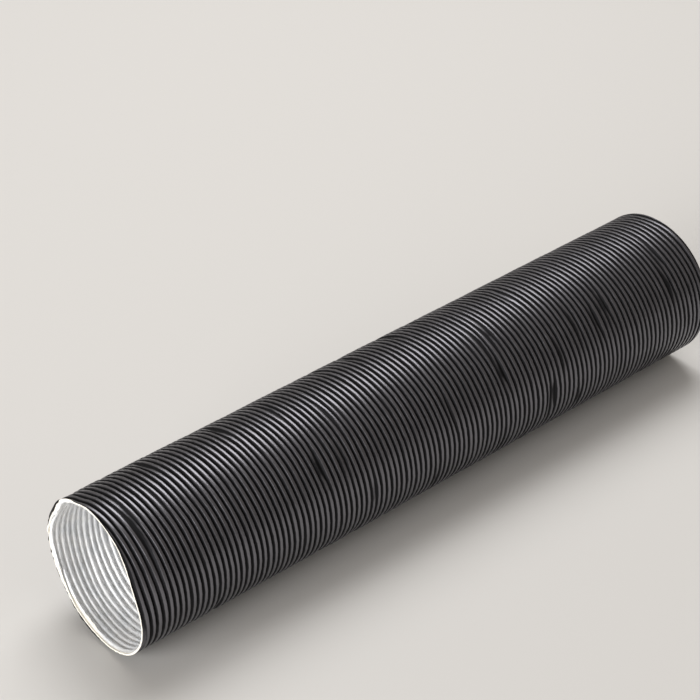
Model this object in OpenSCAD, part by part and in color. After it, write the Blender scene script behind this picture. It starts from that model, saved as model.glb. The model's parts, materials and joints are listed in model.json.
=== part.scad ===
// A cut length of heater duct hose, lying on its side along X with its lowest ribs on z = 0.
// Three plies are glued face to face and corrugated together: aluminium foil inside,
// kraft paper in the middle and a black outer ply.

/* [Hose] */
// Inside diameter, the size of the spigot that either end slides over
bore_d = 60; // [40:1:100]
// Length of the cut piece
hose_len = 305; // [100:1:1000]
// Least length of the band that is pressed plain at each cut end
plain_end = 2.6; // [1:0.1:10]

/* [Ribs] */
// Distance from one rib to the next
rib_pitch = 2.6; // [2:0.1:5]
// Height of a rib, from the bottom of a groove to the crest
rib_depth = 1.0; // [0.6:0.1:1.5]

/* [Plies] */
// Thickness of the aluminium foil liner
foil_t = 0.1; // [0.05:0.01:0.2]
// Thickness of the kraft paper, all its windings together
paper_t = 0.4; // [0.2:0.05:0.8]
// Thickness of the black outer ply
outer_t = 0.1; // [0.05:0.01:0.3]

/* [Hidden] */
$fn = 96;

// Straight steps that draw one rib from groove to groove
rib_steps = 8;
rib_count = floor((hose_len - 2 * plain_end) / rib_pitch);
// What the whole ribs leave over is shared between the two plain ends
end_len = (hose_len - rib_count * rib_pitch) / 2;

wall_t = foil_t + paper_t + outer_t;
hose_r = bore_d / 2 + rib_depth + wall_t;
// The wall's middle line runs halfway between the bore and the crests
mid_r = (bore_d / 2 + hose_r) / 2;
// Slope of that line at its steepest, on a rib's flank
flank_slope = PI * rib_depth / rib_pitch;

// Where each face of a ply lies, as a distance outwards from the middle line
liner_face = -wall_t / 2;
liner_glue = liner_face + foil_t;
outer_glue = liner_glue + paper_t;
outer_face = outer_glue + outer_t;

// Radius of a face at an angle along the rib wave, with 180 at the bottom of a groove.
// A face is further out on the flanks, so that the wall keeps its thickness there.
// The crests come out broad on the outside and the grooves narrow, and the reverse inside.
function face_r(face, wave) =
    mid_r + rib_depth / 2 * cos(wave) + face * sqrt(1 + pow(flank_slope * sin(wave), 2));

// Points of a face from one cut end to the other, as [radius, distance along the hose]
function face_line(face) = concat(
    [[face_r(face, 180), 0]],
    [for (i = [0:rib_count * rib_steps])
        [face_r(face, 180 + 360 * i / rib_steps), end_len + i * rib_pitch / rib_steps]],
    [[face_r(face, 180), hose_len]]
);

function reversed(points) = [for (i = [len(points) - 1:-1:0]) points[i]];

// The ring between two faces, turned round the hose's axis
module ply(inner, outer) {
    translate([-hose_len / 2, 0, hose_r])
        rotate([0, 90, 0])
            rotate_extrude()
                polygon(concat(face_line(inner), reversed(face_line(outer))));
}

// Black lacquered ply that shows on the outside
module black_outer_ply() {
    color("#2b2a2e") ply(outer_glue, outer_face);
}

// Kraft paper that shows only as the pale edge at the cuts
module kraft_paper_ply() {
    color("#e9dfc8") ply(liner_glue, outer_glue);
}

// Bright aluminium foil that shows on the inside
module foil_liner() {
    color("#d4d5d8") ply(liner_face, liner_glue);
}

black_outer_ply();
kraft_paper_ply();
foil_liner();
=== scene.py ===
# A cut length of heater duct hose on a pale floor, in metres, with the hose's axis along X.
import functools
import json
import math
import random
import bpy
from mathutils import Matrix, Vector, noise


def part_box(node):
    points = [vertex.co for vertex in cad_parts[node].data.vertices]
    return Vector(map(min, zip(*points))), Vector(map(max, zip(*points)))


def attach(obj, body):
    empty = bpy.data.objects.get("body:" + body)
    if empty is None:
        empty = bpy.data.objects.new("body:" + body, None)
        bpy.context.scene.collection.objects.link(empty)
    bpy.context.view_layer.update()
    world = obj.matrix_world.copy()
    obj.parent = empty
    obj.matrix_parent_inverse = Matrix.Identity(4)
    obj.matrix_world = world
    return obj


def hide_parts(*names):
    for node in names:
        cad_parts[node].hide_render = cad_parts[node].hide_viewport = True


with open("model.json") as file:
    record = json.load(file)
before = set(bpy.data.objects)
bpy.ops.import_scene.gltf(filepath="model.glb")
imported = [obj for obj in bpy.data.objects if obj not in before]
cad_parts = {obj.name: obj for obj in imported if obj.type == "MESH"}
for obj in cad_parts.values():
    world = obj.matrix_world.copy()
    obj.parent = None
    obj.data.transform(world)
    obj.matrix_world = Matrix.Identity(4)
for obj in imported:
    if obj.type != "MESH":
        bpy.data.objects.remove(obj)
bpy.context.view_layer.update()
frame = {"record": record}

mm = 0.001


# Viewpoint
# The camera looks down on the open front end from the left, as the photograph does.
# Its distances are in outside radii of the hose, from the middle of that mouth.
hose_low, hose_high = (Vector(corner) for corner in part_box("black_outer_ply"))
hose_radius = (hose_high.z - hose_low.z) / 2
hose_length = hose_high.x - hose_low.x
mouth = Vector((hose_low.x + 1.5 * mm, 0, hose_radius))

camera_data = bpy.data.cameras.new("viewpoint")
camera_data.sensor_width = 36
camera_data.lens = 125
camera = bpy.data.objects.new("viewpoint", camera_data)
bpy.context.scene.collection.objects.link(camera)
camera.location = mouth + hose_radius * Vector((-12.41, -18.24, 17.99))
aim = mouth + hose_radius * Vector((4.20, 0.24, 1.17))
camera.rotation_euler = (aim - camera.location).to_track_quat("-Z", "Y").to_euler()
bpy.context.scene.camera = camera


# Foil liner
# The innermost ply is a strip of bright aluminium foil, wound round a mandrel with its edges lapped.
# The whole wall is then rolled into fine ribs, which run round the hose as a slow screw of four starts.
bore_radius = frame["record"]["mounts"][0]["dims"]["r_mm"] * mm
rib_pitch = 2.6 * mm
rib_starts = 4
rib_steps = (-180, -115, -80, -40, 0, 40, 80, 115)     # degrees from the top of each rib
columns = 46
lead = rib_pitch * rib_starts
ribs_across = math.ceil((hose_length + lead) / rib_pitch) + 2
rows = ribs_across * len(rib_steps)


def ply_outside(node):
    low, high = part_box(node)
    return (high[2] - low[2]) / 2


foil_thickness = 0.1 * mm
kraft_thickness = ply_outside("kraft_paper_ply") - ply_outside("foil_liner")
lacquer_thickness = hose_radius - ply_outside("kraft_paper_ply")
wall_thickness = foil_thickness + kraft_thickness + lacquer_thickness
rib_height = hose_radius - bore_radius - wall_thickness
groove_middle = bore_radius + wall_thickness / 2


# Turn is 0 at the top of the hose, a quarter on the side that faces the camera and a half on the floor
def smooth_step(low, high, value):
    share = min(max((value - low) / (high - low), 0), 1)
    return share * share * (3 - 2 * share)


def swell_at(turn, degrees, width):
    gap = abs((turn - math.radians(degrees) + math.pi) % (2 * math.pi) - math.pi)
    return math.exp(-(gap / math.radians(width)) ** 2)


def patchy(along, turn, along_size, round_size, seed):
    return noise.noise(Vector((
        along / along_size + seed,
        hose_radius * math.cos(turn) / round_size,
        hose_radius * math.sin(turn) / round_size + seed)))


# The knife went through a little askew, so the cut starts nearest the camera and lies back on the far side
def front_cut(turn):
    askew = 1.5 * mm * (1 - math.cos(turn - math.radians(75)))
    return askew + 0.2 * mm * (1 + patchy(0, turn, mm, 9 * mm, 2.2)) * (1 - swell_at(turn, 75, 20))


def rear_cut(turn):
    return hose_length - 0.2 * mm * abs(patchy(0, turn, mm, 9 * mm, 6.4))


def foil_cut(turn):
    peeled = 1.0 * swell_at(turn, 205, 45) + 0.5 * swell_at(turn, 130, 25)
    return front_cut(turn) + (0.15 + peeled * (1 + 0.6 * patchy(0, turn, mm, 4 * mm, 4.1))) * mm


def kraft_cut(turn):
    shred = 0.6 * swell_at(turn, 278, 4)
    return front_cut(turn) - shred * mm + 0.25 * mm * max(patchy(0, turn, mm, 1.3 * mm, 7.7), 0)


# The middle of the wall stands in at the places that the knife pressed
def pressed_in(ahead, turn):
    depth = 3.0 * swell_at(turn, 70, 33) + 1.7 * swell_at(turn, 190, 28) + 1.9 * swell_at(turn, 238, 30)
    depth += 0.8 * swell_at(turn, 343, 9) + 1.0 * swell_at(turn, 292, 16) + 1.15 * swell_at(turn, 305, 11)
    return depth * mm * (1 - smooth_step(0, 15 * mm, ahead))


# Width of the band that the cut has pressed plain, widest low on the side that faces the camera
def plain_band(turn):
    return (0.5 + 2.6 * swell_at(turn, 125, 42) + 1.6 * swell_at(turn, 60, 25)) * mm


# Where that band lies between the grooves, at 0, and the tops of the ribs, at 1
def band_level(turn):
    return 1 - 0.9 * swell_at(turn, 60, 28)


random.seed(7)
pinches = [
    (random.uniform(8 * mm, hose_length - 8 * mm), random.uniform(0, 360), 1.6 * mm, 12, random.choice((-1, 1)))
    for _ in range(80)]
pinches.append((11.6 * mm, 28, 1.3 * mm, 26, -1))


# How far the ribs stray from an even screw, in radians of the wave, and how hard they are pinched
@functools.lru_cache(maxsize=None)
def stray_at(along, turn):
    shift = 0
    press = 0
    for place, degrees, length, width, way in pinches:
        ahead = (along - place) / length
        if abs(ahead) < 3:
            strength = math.exp(-ahead * ahead) * swell_at(turn, degrees, width)
            shift += way * strength
            press += strength
    wander = 0.6 * patchy(along, turn, 14 * mm, 22 * mm, 3.1) + 0.55 * patchy(along, turn, 2.6 * mm, 11 * mm, 8.7)
    return wander + 1.3 * shift, min(press, 1)


# Each row of the mesh follows one line of a rib
def row_place(row, turn):
    rib, step = divmod(row, len(rib_steps))
    phase = 2 * math.pi * (rib - 1) + math.radians(rib_steps[step]) + rib_starts * (turn - 2 * math.pi)
    along = phase * rib_pitch / (2 * math.pi)
    for _ in range(4):
        along = (phase - stray_at(along, turn)[0]) * rib_pitch / (2 * math.pi)
    return along


@functools.lru_cache(maxsize=None)
def wall_at(along, turn):
    stray, press = stray_at(along, turn)
    wave = 2 * math.pi * along / rib_pitch - rib_starts * turn + stray
    ahead = along - front_cut(turn)
    height = 1 - 0.18 * max(patchy(along, turn, 5 * mm, 12 * mm, 5.3), 0) - 0.45 * press
    plain = 1 - smooth_step(0, 1, ahead / plain_band(turn))
    height *= (1 - plain) * smooth_step(0, 1, (rear_cut(turn) - along) / (1.2 * mm))
    # flat-topped ribs with steep sides
    side = math.pi / 2 * math.cos(wave)
    crest = (1 + math.sin(side)) / 2
    slope = rib_height * height * math.pi ** 2 / (2 * rib_pitch) * math.cos(side) * math.sin(wave)
    middle = groove_middle + rib_height * (height * crest + plain * band_level(turn)) - pressed_in(ahead, turn)
    middle -= 0.25 * mm * max(patchy(along, turn, 45 * mm, 30 * mm, 1.9), 0) * (1 - swell_at(turn, 180, 30))
    # the plain band low on the near side gets a lighter tone through the rib attribute, a painted sheen
    band_painted_sheen = 0.75 * swell_at(turn, 118, 34) * smooth_step(0, 0.3, plain)
    return middle, math.sqrt(1 + slope * slope), max(crest * height, band_painted_sheen)


def ribbed_ply(name, inner, outer, cut):
    bpy.ops.object.select_all(action="DESELECT")
    bpy.ops.mesh.primitive_grid_add(x_subdivisions=rows, y_subdivisions=columns, size=1)
    ply = bpy.context.object
    ply.name = name
    ply.data.name = name
    thickness = ply.modifiers.new("thickness", "SOLIDIFY")
    thickness.thickness = 0.1
    thickness.offset = 0
    bpy.ops.object.modifier_apply(modifier=thickness.name)

    # the two long sides are opened for the seam
    bpy.ops.object.mode_set(mode="EDIT")
    bpy.ops.mesh.select_mode(type="FACE")
    bpy.ops.mesh.select_all(action="DESELECT")
    bpy.ops.object.mode_set(mode="OBJECT")
    for face in ply.data.polygons:
        face.select = abs(face.center.y) > 0.4999
    bpy.ops.object.mode_set(mode="EDIT")
    bpy.ops.mesh.delete(type="FACE")

    # columns are closer together near both cuts
    bpy.ops.mesh.select_mode(type="EDGE")
    bpy.ops.mesh.select_all(action="DESELECT")
    bpy.ops.object.mode_set(mode="OBJECT")
    points = ply.data.vertices
    for edge in ply.data.edges:
        start, end = (points[index].co for index in edge.vertices)
        along = ((start.x + 0.5) * ribs_across - 1) * rib_pitch + lead * ((start.y + end.y) / 2 - 0.5)
        runs_round = abs(start.y - end.y) > 0.5 / columns
        edge.select = runs_round and not 7 * mm < along < hose_length - 2 * mm
    bpy.ops.object.mode_set(mode="EDIT")
    bpy.ops.mesh.subdivide(number_cuts=3)
    bpy.ops.object.mode_set(mode="OBJECT")

    ribs = ply.data.attributes.new("rib", "FLOAT", "POINT")
    for vertex in ply.data.vertices:
        share = round((vertex.co.y + 0.5) * columns * 4) / (columns * 4)
        row = round((vertex.co.x + 0.5) * rows)
        turn = 2 * math.pi * share
        along = min(max(row_place(row, turn), cut(turn)), rear_cut(turn))
        middle, stretch, crest = wall_at(along, turn)
        side = outer if vertex.co.z > 0 else inner
        radius = middle + side(along - cut(turn), turn) * stretch
        radius = min(radius, hose_radius)
        # The rib attribute carries the rib height and the plain band's painted sheen, for the material's painted
        # sheen and shade
        ribs.data[vertex.index].value = crest
        vertex.co = (hose_low.x + along, -radius * math.sin(turn), hose_radius + radius * math.cos(turn))
    bpy.ops.object.mode_set(mode="EDIT")
    bpy.ops.mesh.select_all(action="SELECT")
    bpy.ops.mesh.remove_doubles(threshold=0.001 * mm)
    bpy.ops.mesh.normals_make_consistent(inside=False)
    bpy.ops.object.mode_set(mode="OBJECT")
    bpy.ops.object.shade_smooth_by_angle(angle=math.radians(70))
    return ply


# The cut edge of the paper is crushed and stands a little thicker than the wall
def foil_bore_face(ahead, turn):
    return foil_back_face(ahead, turn) - foil_thickness


def foil_back_face(ahead, turn):
    crushed = 0.35 * mm * math.exp(-max(ahead, 0) / (0.7 * mm))
    return -wall_thickness / 2 + foil_thickness - crushed


foil = ribbed_ply("foil_liner_ribbed", foil_bore_face, foil_back_face, foil_cut)


def linear(hex_colour):
    channels = [int(hex_colour[place:place + 2], 16) / 255 for place in (1, 3, 5)]
    return [c / 12.92 if c < 0.04045 else ((c + 0.055) / 1.055) ** 2.4 for c in channels] + [1]


def new_material(name):
    material = bpy.data.materials.new(name)
    material.use_nodes = True
    material.node_tree.nodes.clear()
    return material


# Adds a node with its own settings, its unlinked values and its links, each a node with the output's name
def add_node(material, kind, values=None, links=None, **settings):
    node = material.node_tree.nodes.new(kind)
    for key, value in settings.items():
        setattr(node, key, value)
    sockets = {socket.identifier: socket for socket in node.inputs}
    for key, value in (values or {}).items():
        sockets[key].default_value = value
    for key, (source, output) in (links or {}).items():
        out = next(socket for socket in source.outputs if socket.identifier == output)
        material.node_tree.links.new(out, sockets[key])
    return node


# Bright side of laminated aluminium foil, crinkled by the rolling, so that it scatters light softly
foil_metal = new_material("bright_aluminium_foil")
place = add_node(foil_metal, "ShaderNodeTexCoord")
crinkle = add_node(foil_metal, "ShaderNodeTexVoronoi", {
    "Scale": 1 / (2.4 * mm), "Randomness": 1}, {"Vector": (place, "Object")}, feature="F1")
smudge = add_node(foil_metal, "ShaderNodeTexNoise", {
    "Scale": 1 / (7 * mm), "Detail": 4, "Roughness": 0.6}, {"Vector": (place, "Object")})
tone = add_node(foil_metal, "ShaderNodeMapRange", {
    "From Min": 0.35, "From Max": 0.6}, {"Value": (smudge, "Fac")})
colour = add_node(foil_metal, "ShaderNodeMix", {
    "A_Color": linear("#ECEEF0"), "B_Color": linear("#FCFCFC")},
    {"Factor_Float": (tone, "Result")}, data_type="RGBA")
gloss = add_node(foil_metal, "ShaderNodeMapRange", {
    "From Min": 0.3, "From Max": 0.7, "To Min": 0.7, "To Max": 0.5}, {"Value": (smudge, "Fac")})
bump = add_node(foil_metal, "ShaderNodeBump", {
    "Strength": 1, "Distance": 0.22 * mm}, {"Height": (crinkle, "Distance")})
foil_surface = add_node(foil_metal, "ShaderNodeBsdfPrincipled", {"Metallic": 0.4}, {
    "Base Color": (colour, "Result_Color"), "Roughness": (gloss, "Result"), "Normal": (bump, "Normal")})
add_node(foil_metal, "ShaderNodeOutputMaterial", links={"Surface": (foil_surface, "BSDF")})
foil.data.materials.append(foil_metal)
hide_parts("foil_liner")
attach(foil, "root")


# Kraft paper
# The middle ply is kraft paper in several windings, glued to the foil. It shows only at the cuts,
# as a pale crushed edge.
def kraft_bore_face(ahead, turn):
    return foil_back_face(ahead, turn)


def kraft_back_face(ahead, turn):
    return wall_thickness / 2 - lacquer_thickness


kraft = ribbed_ply("kraft_paper_ribbed", kraft_bore_face, kraft_back_face, kraft_cut)

# Bleached kraft paper, matt, with short fibres that make it faintly mottled
kraft_paper = new_material("bleached_kraft_paper")
place = add_node(kraft_paper, "ShaderNodeTexCoord")
fibres = add_node(kraft_paper, "ShaderNodeTexNoise", {
    "Scale": 1 / (0.8 * mm), "Detail": 4, "Roughness": 0.7}, {"Vector": (place, "Object")})
colour = add_node(kraft_paper, "ShaderNodeMix", {
    "A_Color": linear("#F3ECDB"), "B_Color": linear("#FFFDF8")},
    {"Factor_Float": (fibres, "Fac")}, data_type="RGBA")
bump = add_node(kraft_paper, "ShaderNodeBump", {
    "Strength": 0.5, "Distance": 0.1 * mm}, {"Height": (fibres, "Fac")})
kraft_surface = add_node(kraft_paper, "ShaderNodeBsdfPrincipled", {"Roughness": 0.85}, {
    "Base Color": (colour, "Result_Color"), "Normal": (bump, "Normal")})
add_node(kraft_paper, "ShaderNodeOutputMaterial", links={"Surface": (kraft_surface, "BSDF")})
kraft.data.materials.append(kraft_paper)
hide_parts("kraft_paper_ply")
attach(kraft, "root")


# Black outer ply
# The outside is a paper strip lacquered black, glued over the kraft and rolled with it.
# Its rib tops are painted a lighter, more reflective grey as a painted sheen, and its grooves are left near black
# as painted shade.
def lacquer_cut(turn):
    torn = 1.2 * swell_at(turn, 329, 7) - 0.8 * swell_at(turn, 303, 15) - 0.4 * swell_at(turn, 197, 13)
    frayed = patchy(0, turn, mm, 1.7 * mm, 9.9) * (0.15 + 0.6 * swell_at(turn, 240, 38))
    return front_cut(turn) + (torn + frayed) * mm


def lacquer_back_face(ahead, turn):
    return wall_thickness / 2 - lacquer_thickness


# Its own edge has curled outwards on the far side
def lacquer_face(ahead, turn):
    curl = 0.35 * swell_at(turn, 306, 20) + 0.2 * swell_at(turn, 195, 22)
    return wall_thickness / 2 + curl * mm * math.exp(-ahead / (0.5 * mm))


black = ribbed_ply("black_outer_ribbed", lacquer_back_face, lacquer_face, lacquer_cut)

# Black lacquer on paper, satin, with the paper's fine crinkle under it
lacquer = new_material("black_lacquered_paper")
place = add_node(lacquer, "ShaderNodeTexCoord")
# The rib attribute picks out the rib tops for the painted sheen and the grooves for the painted shade
rib = add_node(lacquer, "ShaderNodeAttribute", attribute_name="rib")
sheen_breakup = add_node(lacquer, "ShaderNodeTexNoise", {
    "Scale": 1 / (5 * mm), "Detail": 5, "Roughness": 0.65}, {"Vector": (place, "Object")})
sheen_breakup_offset = add_node(lacquer, "ShaderNodeMath", {"Value_001": 0.35, "Value_002": -0.175}, {
    "Value": (sheen_breakup, "Fac")}, operation="MULTIPLY_ADD")
sheen_height = add_node(lacquer, "ShaderNodeMath", links={
    "Value": (rib, "Fac"), "Value_001": (sheen_breakup_offset, "Value")}, operation="ADD")
painted_sheen_mask = add_node(lacquer, "ShaderNodeMapRange", {
    "From Min": 0.42, "From Max": 0.78}, {"Value": (sheen_height, "Value")}, interpolation_type="SMOOTHSTEP")
# Painted shade in the grooves, painted sheen on the rib tops
colour = add_node(lacquer, "ShaderNodeMix", {
    "A_Color": linear("#232325"), "B_Color": linear("#747378")},
    {"Factor_Float": (painted_sheen_mask, "Result")}, data_type="RGBA")
gloss = add_node(lacquer, "ShaderNodeMapRange", {
    "To Min": 0.6, "To Max": 0.36}, {"Value": (painted_sheen_mask, "Result")})
crinkle = add_node(lacquer, "ShaderNodeTexNoise", {
    "Scale": 1 / (1.1 * mm), "Detail": 3, "Roughness": 0.6}, {"Vector": (place, "Object")})
bump = add_node(lacquer, "ShaderNodeBump", {
    "Strength": 0.35, "Distance": 0.08 * mm}, {"Height": (crinkle, "Fac")})
lacquer_surface = add_node(lacquer, "ShaderNodeBsdfPrincipled", {"Metallic": 0.85}, {
    "Base Color": (colour, "Result_Color"), "Roughness": (gloss, "Result"), "Normal": (bump, "Normal")})
add_node(lacquer, "ShaderNodeOutputMaterial", links={"Surface": (lacquer_surface, "BSDF")})
black.data.materials.append(lacquer)
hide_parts("black_outer_ply")
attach(black, "root")


# Floor
# A plain pale floor that runs to the horizon and takes the hose's shadow.
bpy.ops.object.select_all(action="DESELECT")
bpy.ops.mesh.primitive_plane_add(size=12, location=(0, 0, -0.1 * mm))
floor = bpy.context.object
floor.name = "floor"
floor_paint = new_material("pale_floor")
floor_surface = add_node(floor_paint, "ShaderNodeBsdfDiffuse", {"Color": linear("#DAD8D5")})
add_node(floor_paint, "ShaderNodeOutputMaterial", links={"Surface": (floor_surface, "BSDF")})
floor.data.materials.append(floor_paint)


# Light
# A wide softbox overhead gives the sheen along the ribs, and one in front of the mouth lights the inside.
def soft_lamp(name, width, power, place, tint):
    lamp_data = bpy.data.lights.new(name, "AREA")
    lamp_data.size = width
    lamp_data.energy = power
    lamp_data.color = linear(tint)[:3]
    lamp = bpy.data.objects.new(name, lamp_data)
    bpy.context.scene.collection.objects.link(lamp)
    lamp.location = place
    lamp.rotation_euler = (Vector((0, 0, hose_radius)) - lamp.location).to_track_quat("-Z", "Y").to_euler()


soft_lamp("overhead_softbox", 1.0, 16, Vector((0.42, 0.5, 1.35)), "#FFFFFF")
soft_lamp("front_softbox", 1.2, 42, Vector((-1.9, -0.35, 0.6)), "#FFFFFF")

room = bpy.data.worlds.new("pale_room")
bpy.context.scene.world = room
room.use_nodes = True
room.node_tree.nodes["Background"].inputs["Color"].default_value = linear("#F3E7D9")
room.node_tree.nodes["Background"].inputs["Strength"].default_value = 0.22

bpy.context.scene.view_settings.view_transform = "Standard"
